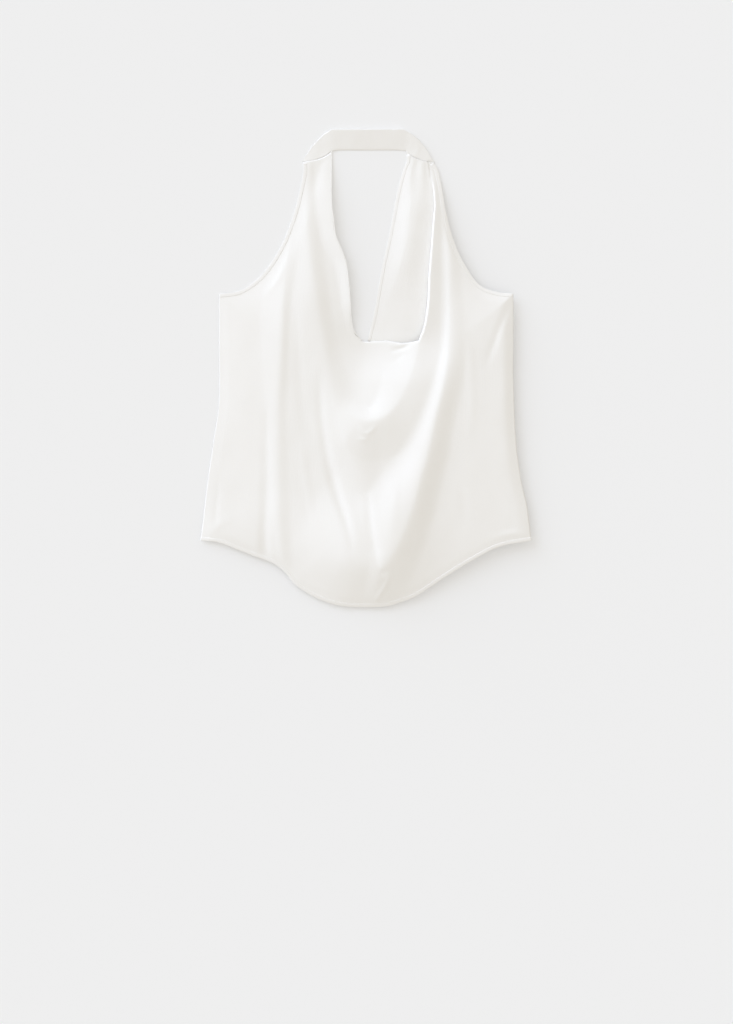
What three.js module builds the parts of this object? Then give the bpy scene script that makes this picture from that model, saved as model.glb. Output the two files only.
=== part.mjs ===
// Halter blouse with a draped cowl neck, in satin, laid flat with its front up.
// Millimetres, +Z up. The floor is z = 0, the neck points along +Y and the origin
// lies under the middle of the garment. Four cut pieces: front, cowl facing, back, neckband.
import * as THREE from 'three';

// ---------- driving sizes ----------
const clothT = 1.4;       // wall of a single cloth
const backT = 1.2;        // wall of the back, pressed flat
const bandT = 2.4;        // neckband, folded double
const gap = 0.3;          // clearance at seams
const layerGap = 0.4;     // and between the front and the back under it
const seamGap = 0.65;     // the same across the band's slanting seams, measured along Y
const facingGap = 0.95;   // and where the seam turns steeply, over the facing
const sideLoft = 7;       // how far the front stands off the back, well inside its edges
const sideReach = 60;     // over what distance from an edge it rises
const bowlStand = 17;     // how much further from an edge the bowl's own edge counts as being
const backDip = -14;      // lowest point of the back's top edge
const backInset = 0.6;    // how far the back stays inside the front's edges
const hemShort = 3.5;     // how much shorter the back is at the hem
const bowlEdgeY = 41;     // y of the opening's lowest edge
const seamY = 310;        // where the straps meet the neckband, at its outer ends
const tailY = 15;         // hidden end of the facing, under the front
const tailCover = 8;      // how far above the opening's lowest edge the facing is already kept under it

// ---------- outline, as x, y pairs ----------
const edge = {
  leftArmhole: [[-93.5, 308], [-94, 290], [-103, 249], [-112, 219], [-124, 189], [-141, 159], [-162, 134],
    [-189, 116], [-220, 111]],
  rightArmhole: [[101.5, 308], [108, 297], [113, 275], [120, 233], [131, 192], [146, 158], [168, 126],
    [194, 114], [221, 111]],
  leftSide: [[-220, 111], [-220, 30], [-220, -48], [-228, -108], [-237, -168], [-244, -228], [-248, -258]],
  rightSide: [[221, 111], [221, 40], [221, -18], [225, -108], [233, -168], [242, -208], [248, -258]],
  hem: [[-248, -258], [-226, -260], [-211, -264], [-189, -273], [-166, -282], [-139, -292], [-120, -307],
    [-105, -325], [-76, -343], [-43, -355], [-12, -358], [29, -357], [51, -351], [74, -342], [96, -328],
    [126, -308], [164, -285], [201, -267], [248, -258]],
  leftSeam: [[-95, 309.5], [-74, 313.2], [-61, 318], [-51, 325]],
  rightSeam: [[59.5, 325.6], [63, 324.3], [69, 318], [81, 313], [91, 310.6], [104, 309]],
  facingFree: [[60.5, 324], [62, 312], [57, 300], [48, 267], [38, 215], [32, 185], [26, 159], [21, 132],
    [12, 80], [3, 42], [1, 15]],
};

// Lines that run down the front, one grid column on each, as x, y pairs from the band to the hem.
const column = {
  leftFold: [[-80, 312], [-94, 252], [-113, 192], [-126, 147], [-129, 102], [-135, 27], [-138, -48],
    [-138, -168], [-133, -265], [-124, -310]],
  neckEdge: [[-51, 323], [-51, 252], [-48, 230], [-45, 200], [-30, 162], [-24, 117], [-21, 72], [-15, 50],
    [-6, 41], [-6, 0], [-8, -79], [-3, -183], [2, -243], [-2, -358]],
  firstDrape: [[92, 310], [96, 300], [102, 252], [99, 207], [93, 132], [92, 102], [87, 65], [79, 41],
    [75, 20], [66, -10], [56, -60], [46, -120], [34, -200], [25, -358]],
  secondDrape: [[98, 309], [108, 252], [114, 215], [120, 162], [120, 102], [119, 42], [108, -48],
    [99, -85], [78, -145], [66, -183], [57, -228], [51, -288], [47, -358]],
};

// ---------- folds ----------
// path: one row of x, y, rise, outer and inner for each point, clockwise seen from above. A crease
// has a negative rise. outer and inner say how far the flanks reach, left and right of the path.
// flanks: their shape in that order, 0 for round and 1 for straight. Only the share lip of the rise
// falls within the inner reach, and the rest falls over the distance body.
const folds = [
  { name: 'first drape', flanks: [0.9, 0.9], lip: 0.55, body: 85, path: [
    [95, 308, 0.6, 10, 8], [101, 280, 1.8, 11, 8], [101, 252, 2.6, 12, 8], [99, 207, 3.2, 12, 8],
    [95, 132, 3.6, 12, 8], [93, 102, 4, 13, 8], [88, 68, 4.8, 17, 10], [82, 44, 5.6, 24, 15],
    [76, 20, 6.4, 34, 22], [69, -6, 7.4, 46, 29], [62, -26, 8.2, 58, 31], [51, -48, 9, 72, 30],
    [38, -65, 9.4, 86, 27], [24, -76, 9.4, 96, 22], [9, -80, 9, 98, 19], [-6, -77, 7.4, 78, 20],
    [-18, -71, 4.6, 50, 22], [-30, -65, 1.8, 28, 22], [-40, -58, 0.3, 16, 20]] },
  { name: 'second drape', flanks: [0.1, 0.85], lip: 1, body: 1, path: [
    [114, 240, 0.4, 14, 8], [118, 205, 1.2, 22, 8], [122, 162, 2, 32, 8], [124, 102, 3, 40, 10],
    [125, 60, 3.6, 44, 12], [124, 28, 4, 46, 13], [121, 0, 4.5, 48, 15], [117, -22, 5, 50, 17],
    [112, -44, 6, 52, 19], [106, -68, 7, 54, 22], [101, -90, 8, 56, 27], [96, -115, 9, 57, 36],
    [90, -140, 10, 58, 46], [84, -160, 10.8, 59, 56], [78, -183, 11.4, 60, 68], [72, -205, 11.6, 60, 76],
    [65, -225, 11.2, 58, 76], [58, -245, 10.2, 55, 70], [50, -263, 8.8, 52, 60], [42, -279, 7, 46, 46],
    [33, -294, 4.6, 38, 34], [24, -305, 2, 28, 22]] },
  { name: 'left arm of the drape', flanks: [0.5, 0.2], lip: 1, body: 1, path: [
    [8, -184, 0.3, 16, 20], [-2, -170, 1.8, 18, 34], [-12, -152, 3.2, 20, 46], [-24, -130, 4.4, 22, 58],
    [-34, -102, 5, 24, 66], [-42, -75, 4.6, 25, 60], [-50, -45, 3.6, 26, 44], [-56, -12, 3, 30, 30],
    [-61, 20, 3, 32, 24], [-66, 55, 3.2, 32, 22], [-71, 95, 3.4, 30, 22], [-78, 140, 3.4, 26, 22],
    [-85, 180, 3, 22, 20], [-89, 230, 2.2, 16, 18], [-89, 270, 1.4, 12, 14], [-86, 302, 0.5, 10, 10]] },
  { name: 'left crease', flanks: [0.3, 0.3], lip: 1, body: 1, path: [
    [-20, -272, -0.3, 12, 12], [-24, -252, -1.2, 12, 12], [-32, -224, -2.1, 13, 13], [-41, -198, -2.3, 14, 14],
    [-48, -176, -2.2, 14, 14], [-55, -152, -1.9, 14, 14], [-60, -126, -1.7, 14, 14], [-65, -92, -1.6, 13, 13],
    [-68, -58, -1.4, 12, 12], [-69, -30, -0.7, 12, 12], [-68, -12, -0.1, 12, 12]] },
  { name: 'neck roll', flanks: [0.5, 0], lip: 1, body: 1, path: [
    [2, 36, 0.2, 10, 8], [-12, 44, 1, 10, 8], [-20, 70, 1.8, 12, 8], [-23, 117, 3, 13, 8],
    [-29, 162, 4.2, 14, 8], [-44, 200, 4.4, 15, 8], [-50, 252, 3.8, 16, 8], [-50, 296, 2, 14, 8],
    [-50, 318, 0.6, 12, 8]] },
  { name: 'left panel', flanks: [0.7, 0], lip: 1, body: 1, path: [
    [-126, -300, 0.3, 96, 50], [-130, -240, 1.5, 104, 60], [-130, -150, 2.6, 100, 60],
    [-128, -50, 3.8, 96, 60], [-126, 30, 5, 96, 60], [-122, 100, 5.6, 94, 56], [-118, 160, 4.6, 64, 50],
    [-106, 214, 2.4, 36, 40], [-98, 260, 0.8, 20, 30]] },
  { name: 'left fold', flanks: [0.6, 0.8], lip: 1, body: 1, path: [
    [-127, -292, 0.6, 14, 16], [-130, -240, 1.3, 14, 18], [-131, -190, 1.6, 14, 20], [-132, -110, 1.7, 15, 22],
    [-132, -60, 1.7, 15, 24], [-129, -10, 1.9, 15, 26], [-126, 50, 2.1, 15, 28], [-124, 100, 2.1, 15, 28],
    [-120, 140, 1.6, 14, 24], [-113, 186, 0.8, 13, 18], [-106, 215, 0.2, 12, 14]] },
  { name: 'centre crease', flanks: [0.4, 0.4], lip: 1, body: 1, path: [
    [3, -190, -0.3, 10, 10], [5, -214, -1, 10, 10], [8, -243, -1.2, 10, 10], [14, -273, -1.2, 10, 10],
    [19, -299, -0.5, 10, 10]] },
  { name: 'underarm pull', flanks: [0.3, 0.6], lip: 1, body: 1, path: [
    [214, 88, -0.3, 12, 13], [206, 72, -0.9, 14, 15], [197, 50, -1.1, 14, 15], [189, 27, -0.8, 14, 14],
    [181, 3, -0.1, 12, 12]] },
  { name: 'fall to the hem', flanks: [0, 0], lip: 1, body: 1, path: [
    [236, -236, 1, 30, 60], [200, -250, 2.5, 34, 70], [150, -274, 3.5, 36, 80], [110, -300, 3, 36, 70],
    [70, -322, 2.5, 34, 60], [30, -334, 2.5, 30, 50], [-10, -330, 3.5, 30, 56], [-50, -318, 3, 30, 60],
    [-90, -300, 1.2, 28, 50]] },
];

// ---------- grid ----------
const gridColumns = [9, 9, 6, 4, 10];   // cells between the column lines, from the left side seam
const rowsAbove = 20;                   // rows of cells from the band to the bowl's edge
const rowsBelow = 29;                   // and from there to the hem
const underarmRow = 17;                 // row that ends at the underarm
const facingCells = { across: 9, down: 24 };

// ---------- small helpers ----------
const clamp01 = (t) => Math.min(1, Math.max(0, t));
const smooth = (t) => clamp01(t) ** 2 * (3 - 2 * clamp01(t));
const mix = (a, b, t) => a + (b - a) * t;

function curve(points) {
  const vectors = points.map(([x, y]) => new THREE.Vector3(x, y, 0));
  return new THREE.CatmullRomCurve3(vectors, false, 'centripetal');
}

// x of a line at y, for a line whose y only falls.
function xAt(points, y) {
  const last = points.length - 1;
  let k = 0;
  while (k < last - 1 && points[k + 1][1] > y) k += 1;
  const [x0, y0] = points[k];
  const [x1, y1] = points[k + 1];
  return mix(x0, x1, clamp01((y0 - y) / (y0 - y1)));
}

// y of the hem at x.
function hemAt(x) {
  const turned = edge.hem.map(([px, py]) => [py, -px]);
  return xAt(turned, -x);
}

// y of the band's seam at x.
function seamAt(x) {
  const line = x < 0 ? edge.leftSeam : edge.rightSeam;
  return xAt(line.map(([px, py]) => [py, -px]), -x);
}

// Nearest place on a path: how far off it is, how far along, and on which side.
function nearest(path, x, y) {
  let best = { far: Infinity, along: 0, side: 1 };
  for (let k = 0; k + 1 < path.length; k += 1) {
    const [ax, ay] = path[k];
    const [bx, by] = path[k + 1];
    const dx = bx - ax;
    const dy = by - ay;
    const t = clamp01(((x - ax) * dx + (y - ay) * dy) / (dx * dx + dy * dy));
    const ex = x - ax - t * dx;
    const ey = y - ay - t * dy;
    const far = Math.hypot(ex, ey);
    if (far < best.far) best = { far, along: k + t, side: dx * ey - dy * ex };
  }
  return best;
}

// Share of its rise that a flank keeps at q, its distance over its reach.
const flank = (q, straight) => mix(1 - smooth(q), 1 - clamp01(q), straight);

// Height that one fold adds at a point.
function foldRise({ flanks, lip, body, path }, x, y) {
  const { far, along, side } = nearest(path, x, y);
  const k = Math.min(Math.floor(along), path.length - 2);
  const [rise, outer, inner] = [2, 3, 4].map((n) => mix(path[k][n], path[k + 1][n], along - k));
  if (side > 0) return rise * flank(far / outer, flanks[0]);
  return rise * mix(flank(far / body, 0), flank(far / inner, flanks[1]), lip);
}

// Top edge of the back, a low scoop between the underarms.
function backTop(x) {
  return mix(backDip, edge.rightSide[0][1] - backInset, (x / edge.rightSide[0][0]) ** 2);
}

const leftEdge = [...edge.leftArmhole, ...edge.leftSide.slice(1)];
const rightEdge = [...edge.rightArmhole, ...edge.rightSide.slice(1)];
const bowlEdge = [[3, bowlEdgeY], [79, bowlEdgeY]];

// The front climbs over the back's top edge, from this far above it and over this distance.
const climb = { from: 60, over: 50 };
const strapRise = 60;    // below the band, the distance over which the straps reach their full loft

// How far the front stands off what is under it, before its folds.
function standOff(x, y) {
  const inside = Math.min(...[leftEdge, rightEdge, edge.hem].map((path) => nearest(path, x, y).far),
    nearest(bowlEdge, x, y).far + bowlStand);
  return sideLoft * (1 - Math.exp(-inside / sideReach)) * smooth((seamY - y) / strapRise);
}

// Top of the front at a point.
function frontTop(x, y) {
  const overBack = smooth((backTop(x) + climb.from - y) / climb.over);
  const folded = folds.reduce((sum, fold) => sum + foldRise(fold, x, y), standOff(x, y));
  return clothT + (backT + layerGap) * overBack + Math.max(0, folded);
}

// Closed wall between a top and a bottom grid. points[row][col] is {x, y, top, bottom} or null.
function wall(points) {
  const position = [];
  const index = [];
  const id = points.map((line) => line.map((p) => {
    if (!p) return null;
    position.push(p.x, p.y, p.top, p.x, p.y, p.bottom);
    return position.length / 3 - 2;
  }));
  const cell = (r, c) => r >= 0 && c >= 0 && r + 1 < id.length && c + 1 < id[0].length
    && [id[r][c], id[r][c + 1], id[r + 1][c], id[r + 1][c + 1]].every((v) => v !== null);
  const side = (a, b) => index.push(a, a + 1, b + 1, a, b + 1, b);
  for (let r = 0; r + 1 < id.length; r += 1) {
    for (let c = 0; c + 1 < id[0].length; c += 1) {
      if (!cell(r, c)) continue;
      const [a, b, d, e] = [id[r][c], id[r][c + 1], id[r + 1][c], id[r + 1][c + 1]];
      if (c < id[0].length / 2) {
        index.push(a, d, e, a, e, b, a + 1, e + 1, d + 1, a + 1, b + 1, e + 1);
      } else {
        index.push(a, d, b, b, d, e, a + 1, b + 1, d + 1, b + 1, e + 1, d + 1);
      }
      if (!cell(r - 1, c)) side(b, a);
      if (!cell(r + 1, c)) side(d, e);
      if (!cell(r, c - 1)) side(a, d);
      if (!cell(r, c + 1)) side(e, b);
    }
  }
  const geometry = new THREE.BufferGeometry();
  geometry.setAttribute('position', new THREE.Float32BufferAttribute(position, 3));
  geometry.setIndex(index);
  geometry.computeVertexNormals();
  return geometry;
}

function satin(color) {
  return new THREE.MeshStandardMaterial({ color, roughness: 0.42, metalness: 0, side: THREE.FrontSide });
}

function piece(name, geometry, color) {
  const mesh = new THREE.Mesh(geometry, satin(color));
  mesh.name = name;
  return mesh;
}

// ---------- front ----------
const rows = rowsAbove + rowsBelow;
const centreY = (row) => (row <= rowsAbove
  ? mix(seamY, bowlEdgeY, row / rowsAbove)
  : mix(bowlEdgeY, edge.hem[10][1], (row - rowsAbove) / rowsBelow));

// A point of a side edge: down the armhole to the underarm, then down the side seam.
function sidePoint(armhole, seam, row) {
  return row <= underarmRow
    ? armhole.getPointAt(row / underarmRow)
    : seam.getPointAt((row - underarmRow) / (rows - underarmRow));
}

function frontRow(row, sides) {
  const left = sidePoint(sides.leftArmhole, sides.leftSide, row);
  const right = sidePoint(sides.rightArmhole, sides.rightSide, row);
  const yMid = centreY(row);
  const at = (line, lift, y = yMid + lift) => ({ x: xAt(line, y), y });
  return [
    left,
    at(column.leftFold, 0.4 * (left.y - yMid)),
    at(column.neckEdge, 0),
    at(column.firstDrape, 0),
    at(column.secondDrape, 0.2 * (right.y - yMid)),
    right,
  ];
}

// Points of a row, with the cells between each pair of column lines shared out.
function spread(marks) {
  const line = [];
  gridColumns.forEach((cells, k) => {
    for (let c = 0; c < cells; c += 1) {
      const t = k === gridColumns.length - 1 ? (c / cells) ** 1.25 : c / cells;
      line.push({ x: mix(marks[k].x, marks[k + 1].x, t), y: mix(marks[k].y, marks[k + 1].y, t) });
    }
  });
  const end = marks[marks.length - 1];
  line.push({ x: end.x, y: end.y });
  return line;
}

function makeFront() {
  const sides = Object.fromEntries(Object.entries(edge).map(([name, points]) => [name, curve(points)]));
  const grid = [];
  for (let row = 0; row <= rows; row += 1) grid.push(spread(frontRow(row, sides)));
  const hemShift = grid[rows].map((p) => hemAt(p.x) - p.y);
  const seamShift = grid[0].map((p) => seamAt(p.x) - seamGap - p.y);
  const openFrom = gridColumns[0] + gridColumns[1];
  const openTo = openFrom + gridColumns[2];
  const points = grid.map((line, row) => line.map((p, c) => {
    if (row < rowsAbove && c > openFrom && c < openTo) return null;
    const y = p.y + hemShift[c] * smooth((row - rowsAbove) / rowsBelow) + seamShift[c] * smooth(1 - row / 4);
    const top = frontTop(p.x, y);
    return { x: p.x, y, top, bottom: top - clothT };
  }));
  return wall(points);
}

// ---------- cowl facing ----------
// It rolls out of the neck edge at the first drape, lies over the floor inside the opening,
// and goes on behind the front as a short hidden tail. Its shares are of its width, from its
// free edge, and its distances run down from the band and up from the opening's lowest edge.
const facing = { ridge: 4.2, ridgeAt: 0.45, turnFrom: 0.72, swell: 50, fadeFrom: 30, fade: 110, turnFade: 22 };

function facingProfile(across, y) {
  const rim = foldRise(folds.find((fold) => fold.name === 'first drape'), xAt(column.firstDrape, y), y);
  const level = standOff(xAt(column.firstDrape, y), y) + rim;
  const down = smooth((seamY - y) / facing.swell) * smooth((y - bowlEdgeY - facing.fadeFrom) / facing.fade);
  const ridge = facing.ridge * smooth(across / facing.ridgeAt) * down;
  const turn = smooth((across - facing.turnFrom) / (1 - facing.turnFrom)) * smooth((y - bowlEdgeY) / facing.turnFade);
  return clothT + mix(ridge, Math.max(ridge, level), turn);
}

function makeFacing() {
  const free = curve(edge.facingFree);
  const grid = [];
  for (let row = 0; row <= facingCells.down; row += 1) {
    const inner = free.getPointAt(row / facingCells.down);
    const outerY = mix(seamY, tailY, row / facingCells.down);
    const outerX = xAt(column.firstDrape, Math.max(outerY, bowlEdgeY + tailCover)) - 2 * gap;
    grid.push(Array.from({ length: facingCells.across + 1 }, (_, c) => {
      const across = c / facingCells.across;
      return { x: mix(inner.x, outerX, across), y: mix(inner.y, outerY, across), across };
    }));
  }
  const seamShift = grid[0].map((p) => seamAt(p.x) - facingGap - p.y);
  return wall(grid.map((line, row) => line.map((p, c) => {
    const y = p.y + seamShift[c] * smooth(1 - row / 3);
    const under = y < bowlEdgeY + tailCover ? frontTop(p.x, Math.min(y, bowlEdgeY)) - clothT - 2 * gap : Infinity;
    const top = Math.max(clothT, Math.min(facingProfile(p.across, y), under));
    return { x: p.x, y, top, bottom: top - clothT };
  })));
}

// ---------- back and neckband, pressed flat ----------
function flatPiece(outline, thickness, bevel) {
  const shape = new THREE.Shape(outline.map(([x, y]) => new THREE.Vector2(x, y)));
  const geometry = new THREE.ExtrudeGeometry(shape, {
    depth: thickness - 2 * bevel, bevelEnabled: bevel > 0, bevelThickness: bevel, bevelSize: bevel,
    bevelOffset: -bevel, bevelSegments: 1, steps: 1, curveSegments: 8,
  });
  geometry.translate(0, 0, bevel);
  return geometry;
}

function makeBack() {
  const scoop = [];
  const halfTop = edge.rightSide[0][0] - backInset;
  for (let k = 0; k <= 24; k += 1) {
    const x = mix(-halfTop, halfTop, k / 24);
    scoop.push([x, backTop(x)]);
  }
  const right = edge.rightSide.slice(1, -1).map(([x, y]) => [x - backInset, y]);
  const left = edge.leftSide.slice(1, -1).map(([x, y]) => [x + backInset, y]).reverse();
  const hem = edge.hem.slice(1, -1).map(([x, y]) => [x, y + hemShort]).reverse();
  const [hemLeft, hemRight] = [edge.hem[0], edge.hem[edge.hem.length - 1]];
  const corners = {
    right: [hemRight[0] - 1.5, hemRight[1] + hemShort],
    left: [hemLeft[0] + 1.5, hemLeft[1] + hemShort],
  };
  return flatPiece([...scoop, ...right, corners.right, ...hem, corners.left, ...left], backT, 0);
}

// The band's top strip runs between two sloped ends, where the strap tops are gathered in.
const band = {
  rightSlope: [[56, 358], [69, 351], [81, 341], [92, 327], [99.5, 313]],
  lowerEdge: [[59, 327], [-50, 327]],
  leftSlope: [[-95, 311], [-89, 320], [-82, 331], [-73, 341], [-64, 350], [-52, 358]],
};

const makeBand = () => flatPiece(
  [...band.rightSlope, ...edge.rightSeam.toReversed(), ...band.lowerEdge, ...edge.leftSeam.toReversed(),
    ...band.leftSlope],
  bandT, 0.5);

// ---------- the garment ----------
const blouse = new THREE.Group();
blouse.add(
  piece('front', makeFront(), 0xf6f4ef),
  piece('cowl_facing', makeFacing(), 0xf3f1eb),
  piece('back', makeBack(), 0xf0eee9),
  piece('neckband', makeBand(), 0xf2f0eb),
);
export default blouse;
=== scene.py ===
import bpy
import bmesh
import math
import numpy as np
from mathutils import Matrix, Vector, noise


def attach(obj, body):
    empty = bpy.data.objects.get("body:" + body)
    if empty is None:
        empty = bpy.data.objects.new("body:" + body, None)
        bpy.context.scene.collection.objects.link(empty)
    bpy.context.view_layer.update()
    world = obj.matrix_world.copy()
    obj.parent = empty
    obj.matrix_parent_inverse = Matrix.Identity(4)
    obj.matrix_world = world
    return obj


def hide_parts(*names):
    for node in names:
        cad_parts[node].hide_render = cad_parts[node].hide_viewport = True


# Halter blouse in warm white satin, laid flat with its front up and its cowl drape swung
# a little to one side. Tables are in millimetres on the floor plane, objects in metres.

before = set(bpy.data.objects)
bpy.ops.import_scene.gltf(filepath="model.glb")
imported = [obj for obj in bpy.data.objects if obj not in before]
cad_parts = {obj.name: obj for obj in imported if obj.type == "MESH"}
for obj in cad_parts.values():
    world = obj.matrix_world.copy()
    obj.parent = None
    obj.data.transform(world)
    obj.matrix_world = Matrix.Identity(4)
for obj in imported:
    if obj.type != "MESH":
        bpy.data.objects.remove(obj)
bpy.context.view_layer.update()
mm = 0.001
print("frame loaded:", len(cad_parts), "solids")

outline = {
    "leftArmhole": [
        (-93.5, 308), (-94, 290), (-103, 249), (-112, 219), (-124, 189), (-141, 159), (-162, 134),
        (-189, 116), (-220, 111)],
    "rightArmhole": [
        (101.5, 308), (108, 297), (113, 275), (120, 233), (131, 192), (146, 158), (168, 126), (194, 114),
        (221, 111)],
    "leftSide": [
        (-220, 111), (-220, 30), (-220, -48), (-228, -108), (-237, -168), (-244, -228), (-248, -258)],
    "rightSide": [(221, 111), (221, 41), (221, -18), (225, -108), (233, -168), (242, -208), (248, -258)],
    "hem": [
        (-248, -258), (-226, -260), (-211, -264), (-189, -273), (-166, -282), (-139, -292), (-120, -307),
        (-105, -325), (-76, -343), (-43, -355), (-12, -358), (29, -357), (51, -351), (74, -342),
        (96, -328), (126, -308), (164, -285), (201, -267), (248, -258)],
    "leftSeam": [(-95, 309.5), (-74, 313.2), (-61, 318), (-51, 325)],
    "rightSeam": [(59.5, 325.6), (63, 324.3), (69, 318), (81, 313), (91, 310.6), (104, 309)],
    "facingFree": [
        (60.5, 324), (62, 312), (57, 300), (48, 267), (38, 215), (32, 185), (26, 159), (21, 132), (12, 80),
        (3, 42), (1, 15)],
}
# Lines that run down the front, from the band to the hem, with one grid column on each.
column = {
    "leftFold": [
        (-80, 316), (-94, 252), (-113, 192), (-126, 147), (-129, 102), (-135, 27), (-138, -48),
        (-138, -168), (-133, -265), (-124, -330)],
    "neckEdge": [
        (-51, 326), (-51, 252), (-48, 230), (-45, 200), (-30, 162), (-24, 117), (-21, 72), (-15, 50),
        (-6, 41), (-6, 0), (-8, -79), (-3, -183), (2, -243), (-2, -360)],
    "firstDrape": [
        (92, 312), (96, 300), (102, 252), (99, 207), (93, 132), (92, 102), (87, 65), (79, 41), (75, 20),
        (66, -10), (56, -60), (46, -120), (34, -200), (25, -360)],
    "secondDrape": [
        (98, 312), (108, 252), (114, 215), (120, 162), (120, 102), (119, 42), (108, -48), (99, -85),
        (78, -145), (66, -183), (57, -228), (51, -288), (47, -360)],
}
# The neck opening's lower end: the foot of its left edge, and the bowl of the cowl.
opening = {
    "foot": [(-6, 41), (3, 39.5)],
    "bowl": [(-2, 39.8), (8, 40.4), (29, 41), (42, 39.6), (53, 37.6), (66, 38.2), (79, 41)],
}
# How many points each kind of line is drawn with.
steps = {
    "outline": 120, "column": 200, "bowl": 60, "hem": 360, "armhole": 150, "neck": 180, "band": 80,
    "tack": 40,
}

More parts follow.
